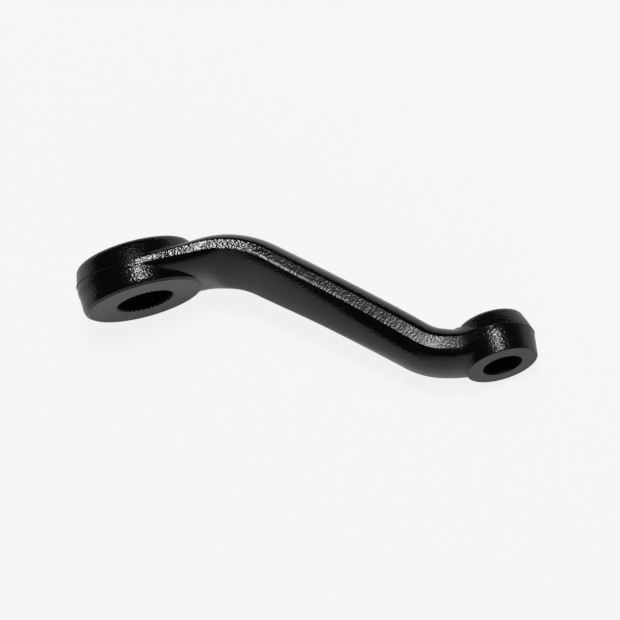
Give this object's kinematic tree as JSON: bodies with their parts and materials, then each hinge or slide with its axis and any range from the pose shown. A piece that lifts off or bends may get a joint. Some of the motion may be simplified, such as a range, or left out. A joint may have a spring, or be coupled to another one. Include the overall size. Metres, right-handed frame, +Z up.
{
  "type": "pitman arm",
  "caption": "Dropped steering pitman arm: one forged bar with a splined hub for the sector shaft, a cranked oval shank and a leaning eye with a tapered ball-stud bore.",
  "frame": {"origin": "on the splined bore's axis, half way along the hub", "axes": "+Y along the sector shaft, from the nut side to the steering-box side; +X towards the ball-stud eye; +Z up from the surface the arm lies on, on its side"},
  "size_m": [0.2151, 0.1109, 0.0646],
  "materials": {
    "black_paint": "semi-gloss black paint over a forged surface"
  },
  "bodies": {
    "root": {"pitman_arm": "black_paint"}
  },
  "joints": []
}
